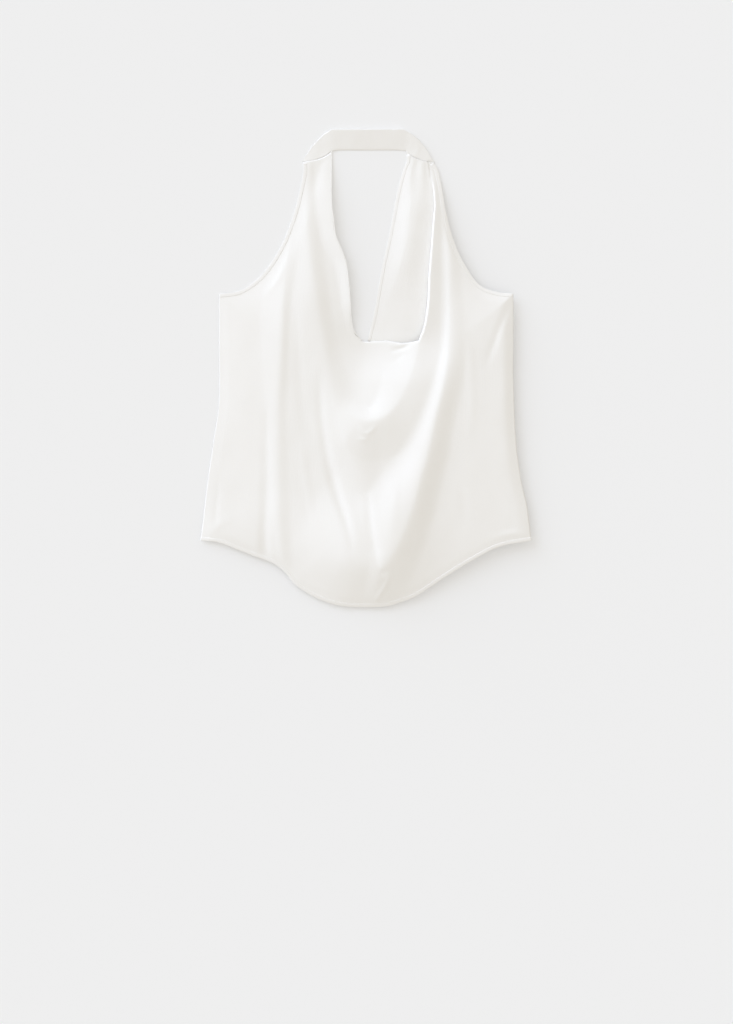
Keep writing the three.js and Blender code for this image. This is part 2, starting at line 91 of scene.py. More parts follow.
# Each fold is a path, clockwise seen from above, with a row of x, y, rise, outer and inner for
# each point: outer and inner say how far its flanks reach, left and right of the path. A crease
# has a negative rise. outerShape, innerShape and lip each change from the path's start to its end.
# A flank is round at 0 and straight at 1. Only the share lip of the rise falls within the inner
# reach, and the rest falls over the distance body. soft rounds it all. What a fold leaves out is
# as in plainFold.
plainFold = {"outerShape": (0, 0), "innerShape": (0, 0), "lip": (1.0, 1.0), "body": 1}
folds = {
    "firstDrape": {"soft": 2.0, "outerShape": (0.9, 0.9), "innerShape": (0.9, 0.9), "path": [
        (95, 308, 0.6, 10, 8), (101, 280, 2.0, 11, 9), (101, 252, 3.3, 11, 9), (99, 207, 4.4, 14, 9),
        (95, 132, 5.4, 18, 10), (93, 102, 5.5, 20, 12), (88, 68, 5.2, 24, 16), (82, 44, 4.3, 29, 25),
        (76, 20, 3.4, 34, 34), (69, -6, 3.2, 40, 40), (62, -26, 3.4, 45, 40), (51, -48, 4.0, 48, 36),
        (38, -65, 4.6, 54, 31), (24, -76, 5.0, 58, 26), (9, -80, 5.0, 60, 22), (-6, -77, 4.0, 54, 21),
        (-18, -71, 2.6, 42, 22), (-30, -65, 1.1, 28, 22), (-40, -58, 0.2, 16, 20)]},
    "firstBody": {"soft": 11.0, "outerShape": (0.6, 0.6), "path": [
        (93, 150, 0.3, 18, 30), (90, 90, 1.0, 24, 40), (82, 44, 1.8, 30, 70), (69, -6, 2.8, 46, 90),
        (51, -48, 4.2, 60, 95), (24, -76, 5.6, 76, 95), (0, -80, 5.4, 78, 95), (-22, -68, 3.2, 56, 80),
        (-40, -50, 1.2, 36, 70)]},
    "secondDrape": {"soft": 2.4, "outerShape": (0.0, 0.75), "innerShape": (0.85, 0.0),
        "lip": (0.4, 1.0), "body": 62, "path": [
        (114, 262, 0.6, 12, 6), (118, 232, 1.5, 12, 6), (121, 205, 2.4, 14, 6), (124, 162, 3.0, 18, 7),
        (125, 102, 3.1, 24, 6), (125, 60, 3.5, 27, 8), (124, 28, 4.3, 29, 11), (121, 0, 5.3, 28, 15),
        (117, -22, 6.3, 29, 17), (112, -44, 7.0, 29, 19), (106, -68, 7.8, 30, 22), (101, -90, 8.6, 30, 27),
        (96, -115, 9.7, 31, 36), (90, -140, 10.4, 31, 45), (84, -160, 10.9, 32, 54),
        (78, -183, 11.2, 32, 66), (72, -205, 11.0, 33, 76), (65, -225, 10.4, 34, 80),
        (58, -245, 9.5, 35, 76), (50, -263, 8.2, 36, 62), (42, -279, 6.6, 40, 46), (33, -294, 5.0, 41, 34),
        (25, -308, 3.4, 43, 24), (20, -322, 2.4, 43, 22), (16, -340, 1.4, 42, 22), (13, -356, 0.8, 40, 22)]},
    "leftArm": {"soft": 2.2, "outerShape": (0.4, 0.6), "innerShape": (0.2, 0.5), "path": [
        (8, -184, 0.3, 20, 20), (-2, -170, 1.6, 28, 30), (-12, -152, 2.8, 36, 40),
        (-22, -130, 3.6, 42, 48), (-30, -104, 4.2, 46, 52), (-38, -76, 4.2, 50, 46),
        (-47, -46, 4.0, 50, 38), (-55, -12, 3.8, 52, 30), (-60, 20, 3.8, 52, 25), (-67, 60, 3.9, 50, 22),
        (-73, 100, 3.8, 46, 21), (-80, 145, 3.4, 36, 21), (-85, 180, 2.9, 28, 21), (-88, 225, 2.0, 18, 19),
        (-89, 262, 1.2, 13, 15), (-87, 300, 0.4, 10, 9)]},
    "leftCrease": {"soft": 1.7, "outerShape": (0.3, 0.3), "innerShape": (0.2, 0.2), "path": [
        (-20, -272, -0.3, 8, 9), (-24, -252, -1.0, 8, 10), (-32, -224, -1.9, 8, 12),
        (-41, -198, -2.2, 9, 13), (-48, -176, -2.1, 9, 13), (-54, -152, -1.7, 9, 13),
        (-60, -122, -1.4, 9, 12), (-65, -90, -1.2, 9, 11), (-68, -56, -1.1, 9, 11),
        (-69, -28, -0.6, 9, 10), (-68, -8, -0.1, 8, 9)]},
    "neckRoll": {"soft": 1.2, "outerShape": (0.5, 0.5), "path": [
        (2, 36, 0.2, 8, 5), (-12, 44, 0.9, 9, 5), (-20, 70, 2.3, 13, 5), (-23, 117, 4.3, 18, 5),
        (-29, 162, 4.8, 21, 5), (-44, 200, 5.2, 26, 5), (-50, 252, 4.3, 28, 5), (-50, 296, 1.9, 24, 5),
        (-50, 318, 0.4, 12, 5)]},
    "leftPanel": {"soft": 4.0, "outerShape": (0.7, 0.7), "path": [
        (-126, -300, 0.6, 96, 80), (-130, -240, 1.8, 100, 100), (-130, -150, 2.8, 94, 110),
        (-128, -50, 3.6, 88, 115), (-126, 30, 4.4, 86, 115), (-122, 100, 3.8, 76, 100),
        (-118, 150, 2.0, 54, 70), (-108, 205, 0.6, 34, 40), (-98, 260, 0.2, 20, 30)]},
    "leftFold": {"soft": 1.6, "outerShape": (0.5, 0.9), "innerShape": (0.3, 0.3), "path": [
        (-122, -298, 0.5, 10, 14), (-126, -268, 1.2, 12, 16), (-130, -225, 1.4, 13, 18),
        (-131, -170, 1.5, 14, 18), (-132, -110, 1.5, 16, 16), (-132, -60, 1.6, 20, 14),
        (-129, -10, 1.9, 26, 13), (-126, 50, 2.3, 32, 13), (-124, 100, 2.2, 32, 14),
        (-119, 142, 1.5, 26, 16), (-113, 186, 0.7, 18, 16), (-106, 220, 0.2, 12, 14)]},
    "leftTrough": {"soft": 2.0, "outerShape": (0.2, 0.2), "innerShape": (0.5, 0.5), "path": [
        (-146, -292, -0.8, 12, 10), (-150, -272, -2.0, 14, 10), (-151, -246, -1.5, 12, 10),
        (-150, -210, -1.1, 11, 10), (-149, -160, -0.8, 11, 9), (-149, -100, -0.4, 10, 8),
        (-146, -40, -0.1, 10, 8)]},
    "centreCrease": {"soft": 1.6, "outerShape": (0.4, 0.4), "innerShape": (0.3, 0.3), "path": [
        (3, -186, -0.3, 9, 9), (5, -212, -0.8, 9, 10), (8, -240, -0.9, 9, 11), (14, -270, -0.8, 9, 11),
        (19, -300, -0.5, 8, 9)]},
    "underarmPull": {"soft": 1.6, "outerShape": (0.3, 0.3), "innerShape": (0.6, 0.6), "path": [
        (214, 92, -0.3, 7, 8), (206, 74, -0.9, 7, 9), (198, 54, -1.1, 7, 9), (190, 31, -0.9, 8, 9),
        (180, 4, -0.2, 8, 9)]},
    "hemFall": {"soft": 4.0, "path": [
        (110, -288, 0.4, 40, 90), (74, -296, 1.8, 50, 120), (40, -298, 3.9, 56, 150),
        (8, -292, 5.3, 62, 160), (-30, -286, 5.5, 64, 160), (-62, -280, 4.2, 58, 150),
        (-92, -272, 2.0, 44, 120), (-112, -264, 0.3, 30, 90)]},
    "rightPleat": {"soft": 3.0, "outerShape": (0.2, 0.2), "innerShape": (0.2, 0.2), "path": [
        (190, 96, 0.2, 22, 20), (202, 60, 0.9, 24, 22), (207, 10, 1.2, 16, 26), (206, -60, 1.2, 16, 28),
        (208, -130, 1.0, 20, 28), (212, -190, 0.6, 22, 26), (216, -226, 0.2, 22, 24)]},
}
# Small wrinkles, as rows of x, y, rise and width, each with its own softness.
wrinkles = {
    "cowlTuck": {"soft": 1.0, "path": [
        (36, 26, -0.3, 4), (44, 27, -1.4, 4), (52, 29, -2.0, 4), (60, 32, -1.9, 4), (67, 36, -0.6, 4)]},
    "cowlPuff": {"soft": 1.2, "path": [
        (36, 34, 0.3, 4), (46, 35, 1.2, 5), (56, 37, 1.0, 5), (64, 39, 0.4, 4)]},
    "cowlSweep": {"soft": 1.6, "path": [
        (40, 8, -0.2, 5), (47, 14, -0.6, 6), (56, 20, -0.5, 6), (64, 24, -0.1, 5)]},
    "creaseAtFirst": {"soft": 1.0, "path": [
        (-10, -91, 0.3, 4), (-2, -99, 1.0, 4), (6, -97, 1.0, 4), (16, -87, 0.3, 4)]},
    "creaseBelow": {"soft": 1.0, "path": [(-14, -106, 0.2, 4), (-4, -108, 0.9, 4), (5, -105, 0.3, 4)]},
    "hemDimple": {"soft": 1.4, "path": [(20, -304, -0.4, 7), (25, -306, -1.4, 8), (31, -304, -0.5, 7)]},
    "dimpleRidge": {"soft": 1.2, "path": [
        (36, -312, 0.3, 6), (30, -324, 0.9, 6), (22, -338, 1.0, 6), (14, -350, 0.4, 5)]},
    "lowRipple": {"soft": 1.2, "path": [
        (-84, -338, 0.2, 5), (-66, -343, 0.8, 5), (-50, -350, 0.8, 5), (-34, -352, 0.2, 4)]},
    "cornerLeft": {"soft": 1.8, "path": [
        (-236, -250, 0.1, 8), (-222, -236, 0.6, 11), (-206, -228, 0.3, 11)]},
    "cornerRight": {"soft": 1.6, "path": [
        (238, -250, 0.3, 7), (222, -248, 0.9, 8), (205, -250, 0.5, 8), (192, -256, 0.1, 7)]},
    "sideLeft": {"soft": 1.6, "path": [
        (-226, -236, -0.2, 7), (-226, -212, -0.8, 8), (-224, -184, -0.5, 8), (-221, -150, -0.1, 7)]},
    "armLine": {"soft": 1.2, "path": [
        (-150, 108, 0.1, 6), (-134, 128, 0.3, 7), (-121, 158, 0.4, 7), (-110, 196, 0.2, 5)]},
    "bodyStreak": {"soft": 2.0, "path": [
        (-103, 96, -0.1, 8), (-102, 40, -0.5, 9), (-98, -20, -0.5, 10), (-92, -90, -0.1, 9)]},
    "lowStreak": {"soft": 2.0, "path": [
        (-96, -110, 0.1, 7), (-92, -150, 0.6, 8), (-84, -196, 0.5, 8), (-78, -226, 0.1, 7)]},
    "rightStreak": {"soft": 2.2, "path": [
        (150, 60, 0.1, 9), (156, 10, 0.6, 10), (158, -60, 0.5, 11), (154, -120, 0.1, 10)]},
    "rightLow": {"soft": 2.0, "path": [(142, -160, -0.1, 8), (146, -200, -0.6, 9), (148, -234, -0.2, 8)]},
}
# Gathers below the band: share across the strap, half width, height and how far down each one runs.
gathers = {
    "leftStrap": [(0.2, 0.12, 0.6, 64), (0.47, 0.13, -0.5, 90), (0.8, 0.12, 0.4, 58)],
    "facing": [(0.44, 0.12, -0.5, 80), (0.66, 0.11, 0.4, 118), (0.82, 0.09, -0.4, 96)],
}
gatherShape = {"widening": 0.6, "above": 4, "start": 10}


def smooth(t):
    t = np.clip(t, 0.0, 1.0)
    return t * t * (3.0 - 2.0 * t)


# From 0 at the start up to 1 over the reach.
def rises(value, start, reach):
    return smooth((value - start) / reach)


# Down to 0 at the stop, over the reach before it.
def fades(value, stop, reach):
    return smooth((stop - value) / reach)


def mix(a, b, t):
    return a + (b - a) * t


# A smooth line through the points, sampled at even steps along its length. Extra columns go along.
def smoothLine(points, count, perSpan=12):
    p = np.array(points, float)
    q = np.vstack([2 * p[0] - p[1], p, 2 * p[-1] - p[-2]])
    t = np.linspace(0, 1, perSpan + 1)[:-1, None]
    parts = []
    for k in range(len(p) - 1):
        a, b, c, d = q[k:k + 4]
        parts.append(b + 0.5 * t * (c - a + t * (2 * a - 5 * b + 4 * c - d + t * (3 * (b - c) + d - a))))
    dense = np.vstack(parts + [p[-1:]])
    lengths = np.hypot(*(dense[1:, :2] - dense[:-1, :2]).T)
    far = np.concatenate([[0], np.cumsum(lengths)])
    even = np.linspace(0, far[-1], count)
    return np.stack([np.interp(even, far, dense[:, k]) for k in range(dense.shape[1])], axis=1)


# Nearest place on a line for every point: how far off, how far along from 0 to 1, and which side.
def nearest(line, x, y):
    best = np.full(x.shape, 1e9)
    along = np.zeros(x.shape)
    side = np.zeros(x.shape)
    last = len(line) - 1
    for k in range(last):
        (ax, ay), (bx, by) = line[k, :2], line[k + 1, :2]
        dx, dy = bx - ax, by - ay
        t = np.clip(((x - ax) * dx + (y - ay) * dy) / (dx * dx + dy * dy + 1e-12), 0, 1)
        ex, ey = x - ax - t * dx, y - ay - t * dy
        far = np.hypot(ex, ey)
        closer = far < best
        best = np.where(closer, far, best)
        along = np.where(closer, (k + t) / last, along)
        side = np.where(closer, dx * ey - dy * ex, side)
    return best, along, side


def distance(line, x, y):
    return nearest(line, x, y)[0]


# Steps of 1 mm square to a line, to its left for side 1 and to its right for side -1.
def squareTo(line, side):
    slopeX, slopeY = np.gradient(line, axis=0).T
    return side * np.stack([-slopeY, slopeX], axis=1) / np.hypot(slopeX, slopeY)[:, None]


def xAt(line, y):
    order = np.argsort(line[:, 1])
    return np.interp(y, line[order, 1], line[order, 0])


def yAt(line, x):
    order = np.argsort(line[:, 0])
    return np.interp(x, line[order, 0], line[order, 1])


# The least of several distances, with its corners rounded.
def softLeast(distances, blend=7.0):
    return np.maximum(0, -blend * np.log(np.exp(-np.stack(distances) / blend).sum(axis=0)))


# Share of its height that the cloth has near an edge, where it rounds down: 0 at the edge.
def rounded(inside, radius):
    return 1 - (1 - np.clip(inside / radius, 0, 1)) ** 2


# One side of a fold: 1 at its crest, 0 where q reaches 1.
def flank(q, straight):
    q = np.clip(q, 0, 1)
    return mix(1 - smooth(q), 1 - q, straight)


# Height that a fold adds, on a map of places x, y.
def foldRise(fold, x, y, perRow=5):
    fold = {**plainFold, **fold}
    line = smoothLine(fold["path"], perRow * len(fold["path"]))
    reach = max(line[:, 3:].max(), fold["body"])
    low, high = line[:, :2].min(axis=0) - reach, line[:, :2].max(axis=0) + reach
    near = (x > low[0]) & (x < high[0]) & (y > low[1]) & (y < high[1])
    rise = np.zeros(x.shape)
    far, along, side = nearest(line, x[near], y[near])
    at, k = along * (len(line) - 1), np.arange(len(line))
    top, outer, inner = (np.interp(at, k, line[:, row]) for row in (2, 3, 4))
    outerShape, innerShape, lip = (mix(*fold[key], along) for key in ("outerShape", "innerShape", "lip"))
    inside = mix(flank(far / fold["body"], 0), flank(far / inner, innerShape), lip)
    rise[near] = top * np.where(side > 0, flank(far / outer, outerShape), inside)
    return rise


def wrinkleRise(wrinkle, x, y):
    path = [(px, py, rise, width, width) for px, py, rise, width in wrinkle["path"]]
    return foldRise({"path": path}, x, y)


# All the folds together on one fine map, each rounded by its own softness.
mapStep, mapX, mapY = 1.5, 300.0, 420.0
gridX, gridY = np.meshgrid(np.arange(-mapX, mapX, mapStep), np.arange(-mapY, mapY, mapStep))
waveX = np.fft.fftfreq(gridX.shape[1], mapStep)[None, :]
waveY = np.fft.fftfreq(gridX.shape[0], mapStep)[:, None]


def soften(field, radius):
    keep = np.exp(-2 * (np.pi * radius) ** 2 * (waveX ** 2 + waveY ** 2))
    return np.fft.ifft2(np.fft.fft2(field) * keep).real


foldMap = sum(soften(foldRise(fold, gridX, gridY), fold["soft"]) for fold in folds.values())
wrinkleMap = sum(soften(wrinkleRise(item, gridX, gridY), item["soft"]) for item in wrinkles.values())
drapeMap = foldMap + wrinkleMap
print("folds laid")


def fromMap(field, x, y):
    col, row = (x + mapX) / mapStep, (y + mapY) / mapStep
    c, r = np.floor(col).astype(int), np.floor(row).astype(int)
    u, v = col - c, row - r
    low, high = mix(field[r, c], field[r, c + 1], u), mix(field[r + 1, c], field[r + 1, c + 1], u)
    return mix(low, high, v)


# Slight unevenness of cloth that has been worn and smoothed by hand, longer down than across.
# Rows of height, size across and down, lean of each, place of each, and sway.
waves = [(0.5, 41, 73, 0.0, 0.0, 1.3, 0.4, 0.4), (0.22, 17, 52, 0.3, -0.5, 2.0, 0.9, 0.0),
         (0.07, 6.3, 27, -0.2, 0.4, 0.7, 2.6, 0.0)]
swayLength = 90


def unevenness(x, y):
    total = 0
    for height, across, down, leanX, leanY, placeX, placeY, sway in waves:
        wave = np.sin((x + leanX * y) / across + placeX + sway * np.sin(y / swayLength))
        total = total + height * wave * np.sin((y + leanY * x) / down + placeY)
    return total


# Small ridges that run down from a seam, fading as they go.
def strapGathers(ridges, across, down):
    total = np.zeros(across.shape)
    for place, width, height, reach in ridges:
        wide = width * (1 + gatherShape["widening"] * np.clip(down / reach, 0, 1))
        ridge = np.exp(-((across - place) / wide) ** 2)
        started = smooth((down + gatherShape["above"]) / gatherShape["start"])
        total += height * ridge * (1 - smooth(down / reach)) * started
    return total


lines = {name: smoothLine(points, steps["outline"]) for name, points in outline.items()}
columns = {name: smoothLine(points, steps["column"]) for name, points in column.items()}
leftEdge = np.vstack([lines["leftArmhole"], lines["leftSide"][1:]])
rightEdge = np.vstack([lines["rightArmhole"], lines["rightSide"][1:]])

front = {
    "thick": 0.5, "seamY": 310.0, "bowlY": 41.0, "hemY": -358.0,
    "cells": (44, 44, 28, 18, 50),  # grid cells between the columns
    "crowding": ((0.35, 0), (0, 0.45), (0, 0), (0.5, 0), (0, 0.35)),  # towards each start and end
    "slant": {"leftFold": ("left", 0.4), "secondDrape": ("right", 0.2)},  # columns that follow a side
    "rowsAbove": 110, "rowsBelow": 150, "underarmRow": 94, "seamRows": 22, "seamGap": 0.05,
    "bowlFrom": (-8, 10), "bowlTo": (86, 8), "bowlRows": 8,
    "edge": 1.0,  # top of the cloth at its edge
    "lift": 0.9, "liftReach": 14.0, "liftAbove": 70, "liftFade": 110,  # over the back panel
    "loft": 8.5, "loftReach": 85.0, "loftLow": 0.5,  # soft rise away from all edges
    "loftPast": {"hem": 16, "neck": 12, "bowl": 14},  # how far past these it starts
    "hover": 7.5, "hoverArm": 1.15, "hoverHem": 0.32,  # off the floor at its edges
    "roll": 1.7, "rollReach": 20.0,  # sides that curl over
    "fall": 8.0, "fallReach": 80.0, "fallWidth": 96.0, "fallHover": 0.8,  # down to the middle of the hem
    "bowlHeld": 0.42, "strapHeld": 0.75, "heldReach": 64.0,  # share of its height at the opening
    "heldDip": 0.5, "heldDipX": 2, "heldDipWidth": 26,
    "least": 0.3,  # keeps deep creases from going under
    "bowlTurn": (0.5, 2.5), "neckTurn": (0.15, 2.0),  # edges that round down: how deep, how wide
    "crestRound": 2.8, "crestGap": 0.15, "crestAbove": (-2, 20),  # drape that lies on the facing
}
# Where the front changes: the place where each change starts or stops, and the reach it takes.
spans = {
    "hoverRight": (-120, 300), "hoverArm": (120, 60), "hoverHem": (-180, 90), "hoverTop": (306, 80),
    "loftTop": (front["seamY"], 60), "loftDown": (40, 300), "fallDown": (20, 280),
    "leftFade": (-4, 30), "rightFade": (-3, 14), "hemFade": (-8, 24),
    "unevenEdge": (0, 26), "unevenTop": (280, 80), "held": (10, 80), "gathered": (0, 20),
}

# The front's edges round the opening: down its left, along the bowl, and up the first drape.
aboveBowl = {name: line[line[:, 1] > front["bowlY"]] for name, line in columns.items()}
neckLeft = np.vstack([aboveBowl["neckEdge"], opening["foot"]])
bowlEdge = smoothLine(opening["bowl"], steps["bowl"])
strapEdge = aboveBowl["firstDrape"][::4]


# How much the cloth stands off the floor at its edge: nothing on the upper left, most on the right.
def standing(x, y):
    right = rises(x, *spans["hoverRight"]) * mix(1, front["hoverArm"], rises(y, *spans["hoverArm"]))
    below = front["hoverHem"] * fades(y, *spans["hoverHem"]) * (1 - right)
    return (right + below) * fades(y, *spans["hoverTop"])


# The facing rises from its free edge to a soft crest and sinks again before it passes under the
# first drape, with rows of y, the crest's place across, its height, and the height beyond it.
facing = {
    "across": 48, "down": 170, "tailY": 15.0, "thick": 0.5, "under": 3.0, "rimAbove": 6,
    "base": 0.75, "straight": 0.6, "fallenAt": 0.9, "raised": 0.5, "raisedAt": 0.6,
    "uneven": 0.3, "unevenScale": 1.4, "unevenPlace": 50, "unevenAt": 0.3,
    "crestGap": 0.15, "crestFrom": (0.86, 0.06),  # where it goes under the first drape
    "bowlGap": 0.12, "bowlSpan": (3, 79), "bowlBelow": 1.5, "bowlRise": 0.4, "bowlTop": (16, 14),
    "hiddenBelow": 2,
    "crest": [(10, 0.2, 0.2, 0.2), (60, 0.2, 0.4, 0.2), (100, 0.22, 1.0, 0.2), (130, 0.32, 2.2, 0.6),
              (160, 0.38, 3.2, 1.2), (200, 0.42, 3.8, 1.8), (250, 0.38, 3.6, 2.2), (290, 0.3, 2.2, 1.9),
              (312, 0.3, 1.0, 1.0)],
}
freeEdge = smoothLine(outline["facingFree"], facing["down"] + 1)


def facingRim(y):
    return xAt(columns["firstDrape"], np.maximum(y, front["bowlY"] + facing["rimAbove"])) + facing["under"]


def acrossFacing(x, y):
    free = xAt(freeEdge, y)
    return np.clip((x - free) / (facingRim(y) - free), 0, 1)


# Height of the facing as it lies by itself.
def facingLie(x, y):
    across = acrossFacing(x, y)
    crestRows = np.array(facing["crest"])
    crest, top, beyond = (np.interp(y, crestRows[:, 0], crestRows[:, k]) for k in (1, 2, 3))
    up = np.clip(across / crest, 0, 1)
    fallen = rises(across, crest, facing["fallenAt"] - crest)
    rising = top * mix(smooth(up), up, facing["straight"])
    ridge = np.where(across < crest, rising, mix(top, beyond, fallen))
    ridge += facing["raised"] * front["hover"] * standing(x, y) * smooth(across / facing["raisedAt"])
    height = facing["base"] + ridge + strapGathers(gathers["facing"], across, front["seamY"] - y)
    rough = unevenness(facing["unevenScale"] * x + facing["unevenPlace"], y)
    return height + facing["uneven"] * rough * smooth(across / facing["unevenAt"])


# The cloth's broad form: lofted between its edges, rolled at the sides and falling to the hem.
def frontForm(x, y, left, right, hem, neck, bowl):
    past = front["loftPast"]
    lofted = softLeast([left, right, hem + past["hem"], neck + past["neck"], bowl + past["bowl"]])
    loft = front["loft"] * (1 - np.exp(-lofted / front["loftReach"])) * fades(y, *spans["loftTop"])
    loft *= mix(1, front["loftLow"], fades(y, *spans["loftDown"]))
    off = standing(x, y)
    roll = front["roll"] * off * rounded(softLeast([left, right]), front["rollReach"])
    centre = np.exp(-(x / front["fallWidth"]) ** 2)
    roll -= front["fallHover"] * front["hover"] * off * centre * (1 - smooth(hem / front["fallReach"]))
    roll += front["fall"] * centre * rounded(hem, front["fallReach"]) * fades(y, *spans["fallDown"])
    return loft + front["hover"] * off, roll


def frontHeight(x, y):
    left, right, hem = (distance(line, x, y) for line in (leftEdge, rightEdge, lines["hem"]))
    neck, bowl, strap = (distance(line, x, y) for line in (neckLeft, bowlEdge, strapEdge))
    inside = softLeast([left, right, hem])
    form, roll = frontForm(x, y, left, right, hem, neck, bowl)
    overBack = fades(y, backTop(x) + front["liftAbove"], front["liftFade"])
    lift = front["lift"] * overBack * np.clip(inside / front["liftReach"], 0, 1)
    faded = rises(left, *spans["leftFade"]) * rises(right, *spans["rightFade"])
    faded *= rises(hem, *spans["hemFade"])
    rough = unevenness(x, y) * rises(inside, *spans["unevenEdge"]) * fades(y, *spans["unevenTop"])
    folded = faded * fromMap(drapeMap, x, y) + rough + form
    held = mix(front["bowlHeld"], front["strapHeld"], rises(x, *spans["held"]))
    held *= 1 - front["heldDip"] * np.exp(-((x - front["heldDipX"]) / front["heldDipWidth"]) ** 2)
    folded *= mix(held, 1, smooth(np.minimum(bowl, strap) / front["heldReach"]))
    across = (x - xAt(leftEdge, y)) / np.maximum(xAt(columns["neckEdge"], y) - xAt(leftEdge, y), 1)
    folded += strapGathers(gathers["leftStrap"], across, front["seamY"] - y) * fades(x, *spans["gathered"])
    folded = 0.5 * (folded + np.sqrt(folded * folded + front["least"]))
    (bowlDeep, bowlWide), (neckDeep, neckWide) = front["bowlTurn"], front["neckTurn"]
    turned = bowlDeep * (1 - rounded(bowl, bowlWide)) + neckDeep * (1 - rounded(neck, neckWide))
    height = front["edge"] + lift + roll + folded - turned
    drop = np.maximum(0, height - facingLie(x, y) - front["thick"] - front["crestGap"])
    aboveIt = rises(y - front["bowlY"], *front["crestAbove"])
    return height - drop * (1 - rounded(strap, front["crestRound"])) * aboveIt


def meshObject(name, bm):
    mesh = bpy.data.meshes.new(name)
    bm.to_mesh(mesh)
    bm.free()
    mesh.polygons.foreach_set("use_smooth", [True] * len(mesh.polygons))
    obj = bpy.data.objects.new(name, mesh)
    bpy.context.scene.collection.objects.link(obj)
    return obj


# A flat grid, with each corner's share across and down.
def shareGrid(across, down):
    bm = bmesh.new()
    bmesh.ops.create_grid(bm, x_segments=across, y_segments=down, size=0.5)
    bm.verts.ensure_lookup_table()
    flat = np.array([v.co for v in bm.verts])
    return bm, flat[:, 0] + 0.5, 0.5 - flat[:, 1]


# A grid bent to shape: place takes across and down, each 0 to 1, and gives x, y and height.
# keep says which cells stay. The cloth gets its thickness below that surface.
def clothGrid(name, across, down, place, thick, keep=None):
    bm, u, v = shareGrid(across, down)
    gone = []
    if keep is not None:
        middles = [(f, f.calc_center_median()) for f in bm.faces]
        gone = [f for f, middle in middles if not keep(middle.x + 0.5, 0.5 - middle.y)]
    for vert, px, py, pz in zip(bm.verts, *place(u, v)):
        vert.co = (px * mm, py * mm, pz * mm)
    bmesh.ops.delete(bm, geom=gone, context="FACES")
    bm.normal_update()
    if sum(f.normal.z for f in bm.faces) < 0:
        bmesh.ops.reverse_faces(bm, faces=bm.faces)
    obj = meshObject(name, bm)
    wall = obj.modifiers.new("Thickness", "SOLIDIFY")
    wall.thickness = thick * mm
    wall.offset = -1
    return obj


# Reads place for clothGrid off a plan, which is a grid of x and y.
def laidOn(plan, heightAt):
    down, across = plan.shape[0] - 1, plan.shape[1] - 1

    def place(u, v):
        x, y = plan[np.rint(v * down).astype(int), np.rint(u * across).astype(int)].T
        return x, y, heightAt(x, y)

    return place


# Every piece rides on the one body. Some stand for a solid of the frame, and that solid is hidden.
def belongs(obj, node=None):
    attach(obj, "root")
    if node:
        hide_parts(node)
    return obj


# Where each grid column of the front that follows a line lies, from the left edge to the right.
def frontColumns():
    above, below, top = front["rowsAbove"], front["rowsBelow"], front["underarmRow"]
    k = np.arange(above + below + 1)
    upper = mix(front["seamY"], front["bowlY"], k / above)
    lower = mix(front["bowlY"], front["hemY"], (k - above) / below)
    yMid = np.where(k <= above, upper, lower)
    sides = {}
    for side in ("left", "right"):
        armhole = smoothLine(outline[side + "Armhole"], top + 1)
        seam = smoothLine(outline[side + "Side"], above + below - top + 1)
        sides[side] = np.vstack([armhole, seam[1:]])
    marks = [sides["left"]]
    for name in column:
        y = yMid
        if name in front["slant"]:
            side, share = front["slant"][name]
            y = yMid + share * (sides[side][:, 1] - yMid)
        marks.append(np.stack([xAt(columns[name], y), y], axis=1))
    return marks + [sides["right"]]


def frontPlan():
    marks = frontColumns()
    parts = []
    for k, cells in enumerate(front["cells"]):
        t = np.arange(cells) / cells
        low, high = front["crowding"][k]
        t = t - low * np.sin(np.pi * t) * (1 - t) / np.pi + high * np.sin(np.pi * t) * t / np.pi
        t = t[None, :, None]
        parts.append(marks[k][:, None, :] * (1 - t) + marks[k + 1][:, None, :] * t)
    grid = np.concatenate(parts + [marks[-1][:, None, :]], axis=1)
    top, bottom = grid[0], grid[-1]
    hemShift = yAt(lines["hem"], bottom[:, 0]) - bottom[:, 1]
    seam = np.where(top[:, 0] < 0, yAt(lines["leftSeam"], top[:, 0]), yAt(lines["rightSeam"], top[:, 0]))
    seamShift = seam - front["seamGap"] - top[:, 1]
    k = np.arange(len(grid))[:, None]
    grid[:, :, 1] += hemShift * smooth((k - front["rowsAbove"]) / front["rowsBelow"])
    grid[:, :, 1] += seamShift * smooth(1 - k / front["seamRows"])
    bowl = (yAt(bowlEdge, grid[:, :, 0]) - front["bowlY"]) * rises(grid[:, :, 0], *front["bowlFrom"])
    near = np.exp(-((k - front["rowsAbove"]) / front["bowlRows"]) ** 2)
    grid[:, :, 1] += bowl * fades(grid[:, :, 0], *front["bowlTo"]) * near
    return grid


def makeFront():
    plan = frontPlan()
    down, across = plan.shape[0] - 1, plan.shape[1] - 1
    openFrom = sum(front["cells"][:2]) / across
    openTo = sum(front["cells"][:3]) / across
    bowl = front["rowsAbove"] / down
    obj = clothGrid("frontPanel", across, down, laidOn(plan, frontHeight), front["thick"],
                    keep=lambda u, v: v > bowl or not openFrom < u < openTo)
    return belongs(obj, "front")


# Under the front, with a gap left between the two.
def underFront(x, y, gap):
    return frontHeight(x, y) - front["thick"] - gap


